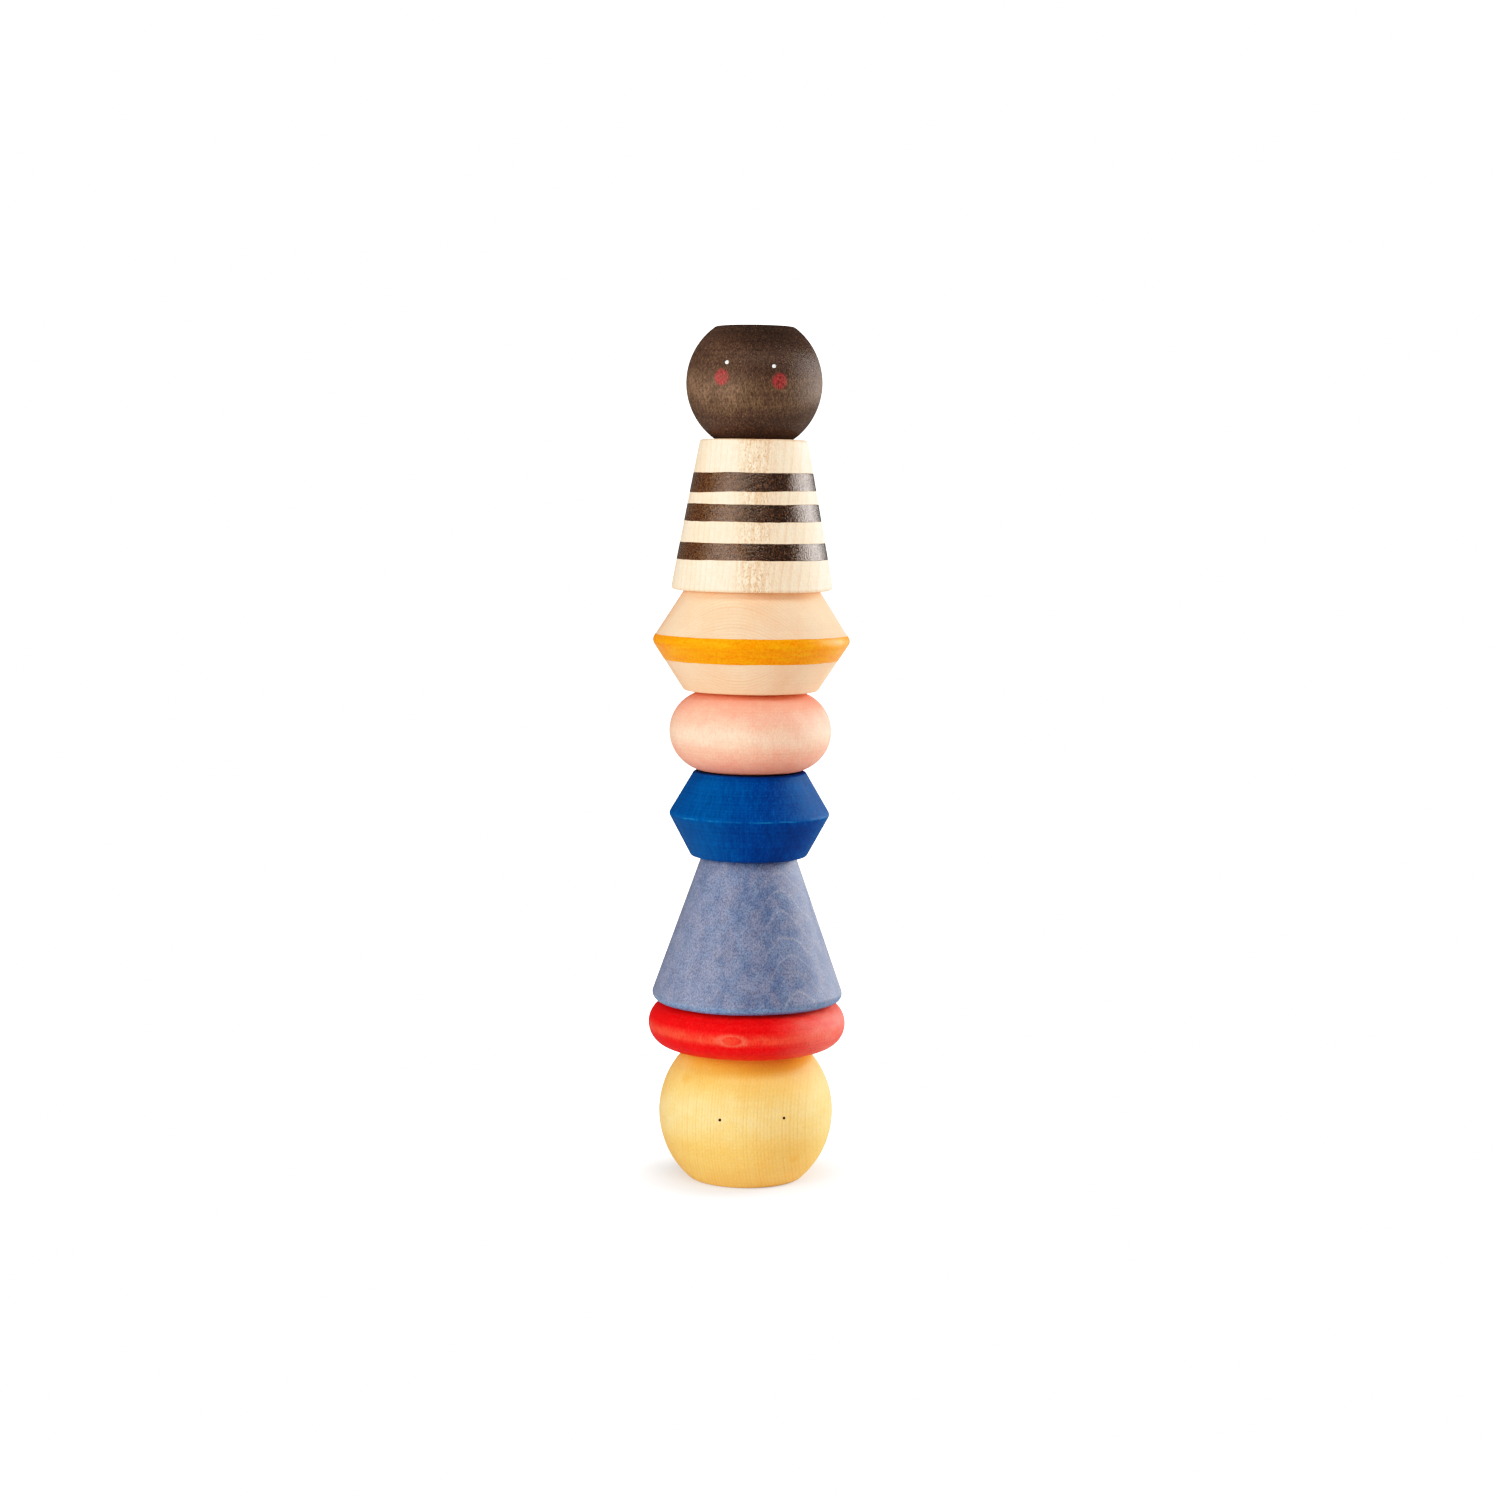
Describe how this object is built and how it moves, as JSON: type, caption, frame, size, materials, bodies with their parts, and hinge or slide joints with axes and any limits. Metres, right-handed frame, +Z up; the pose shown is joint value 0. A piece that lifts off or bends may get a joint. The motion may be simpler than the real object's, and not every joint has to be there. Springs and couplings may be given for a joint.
{
  "type": "kokeshi stacking doll",
  "caption": "Wooden stacking doll: turned rings, cones and double cones between a dark doll head above and a yellow doll head below, all loose on a hidden centre rod.",
  "frame": {"origin": "middle of the flat base under the lower head", "axes": "+Z up along the axis that every piece is turned about and slides along; the painted faces look along -Y; +X is to the right of someone who looks at the faces"},
  "size_m": [0.0734, 0.0734, 0.3155],
  "materials": {
    "yellow_stain": "satin",
    "bare_wood": "matt",
    "red_stain": "satin",
    "grey_blue_stain": "satin",
    "blue_stain": "satin",
    "pink_stain": "satin",
    "peach_wood": "satin",
    "cream_wood": "satin",
    "brown_stain": "satin",
    "band_paint": "satin",
    "stripe_lacquer": "gloss",
    "white_eye_paint": "satin",
    "black_eye_paint": "satin"
  },
  "bodies": {
    "lower_head": {"lower_head": "yellow_stain"},
    "centre_rod": {"centre_rod": "bare_wood"},
    "red_ring": {"red_ring": "red_stain"},
    "skirt_cone": {"skirt_cone": "grey_blue_stain"},
    "blue_double_cone": {"blue_double_cone": "blue_stain"},
    "pink_ring": {"pink_ring": "pink_stain"},
    "banded_double_cone": {"banded_double_cone": "peach_wood"},
    "striped_cone": {"striped_cone": "cream_wood"},
    "upper_head": {"upper_head": "brown_stain"}
  },
  "joints": [
    {"name": "centre_rod_turn", "type": "hinge", "parent": "lower_head", "child": "centre_rod", "pos_m": [0, 0, 0.0495], "axis": [0, 0, 1], "continuous": true},
    {"name": "red_ring_lift", "type": "slide", "parent": "centre_rod", "child": "red_ring", "axis": [0, 0, 1], "range_m": [0, 0.26]},
    {"name": "skirt_cone_lift", "type": "slide", "parent": "red_ring", "child": "skirt_cone", "axis": [0, 0, 1], "range_m": [0, 0.243]},
    {"name": "blue_double_cone_lift", "type": "slide", "parent": "skirt_cone", "child": "blue_double_cone", "axis": [0, 0, 1], "range_m": [0, 0.189]},
    {"name": "pink_ring_lift", "type": "slide", "parent": "blue_double_cone", "child": "pink_ring", "axis": [0, 0, 1], "range_m": [0, 0.157]},
    {"name": "banded_double_cone_lift", "type": "slide", "parent": "pink_ring", "child": "banded_double_cone", "axis": [0, 0, 1], "range_m": [0, 0.127]},
    {"name": "striped_cone_lift", "type": "slide", "parent": "banded_double_cone", "child": "striped_cone", "axis": [0, 0, 1], "range_m": [0, 0.09]},
    {"name": "upper_head_lift", "type": "slide", "parent": "striped_cone", "child": "upper_head", "axis": [0, 0, 1], "range_m": [0, 0.035]}
  ]
}
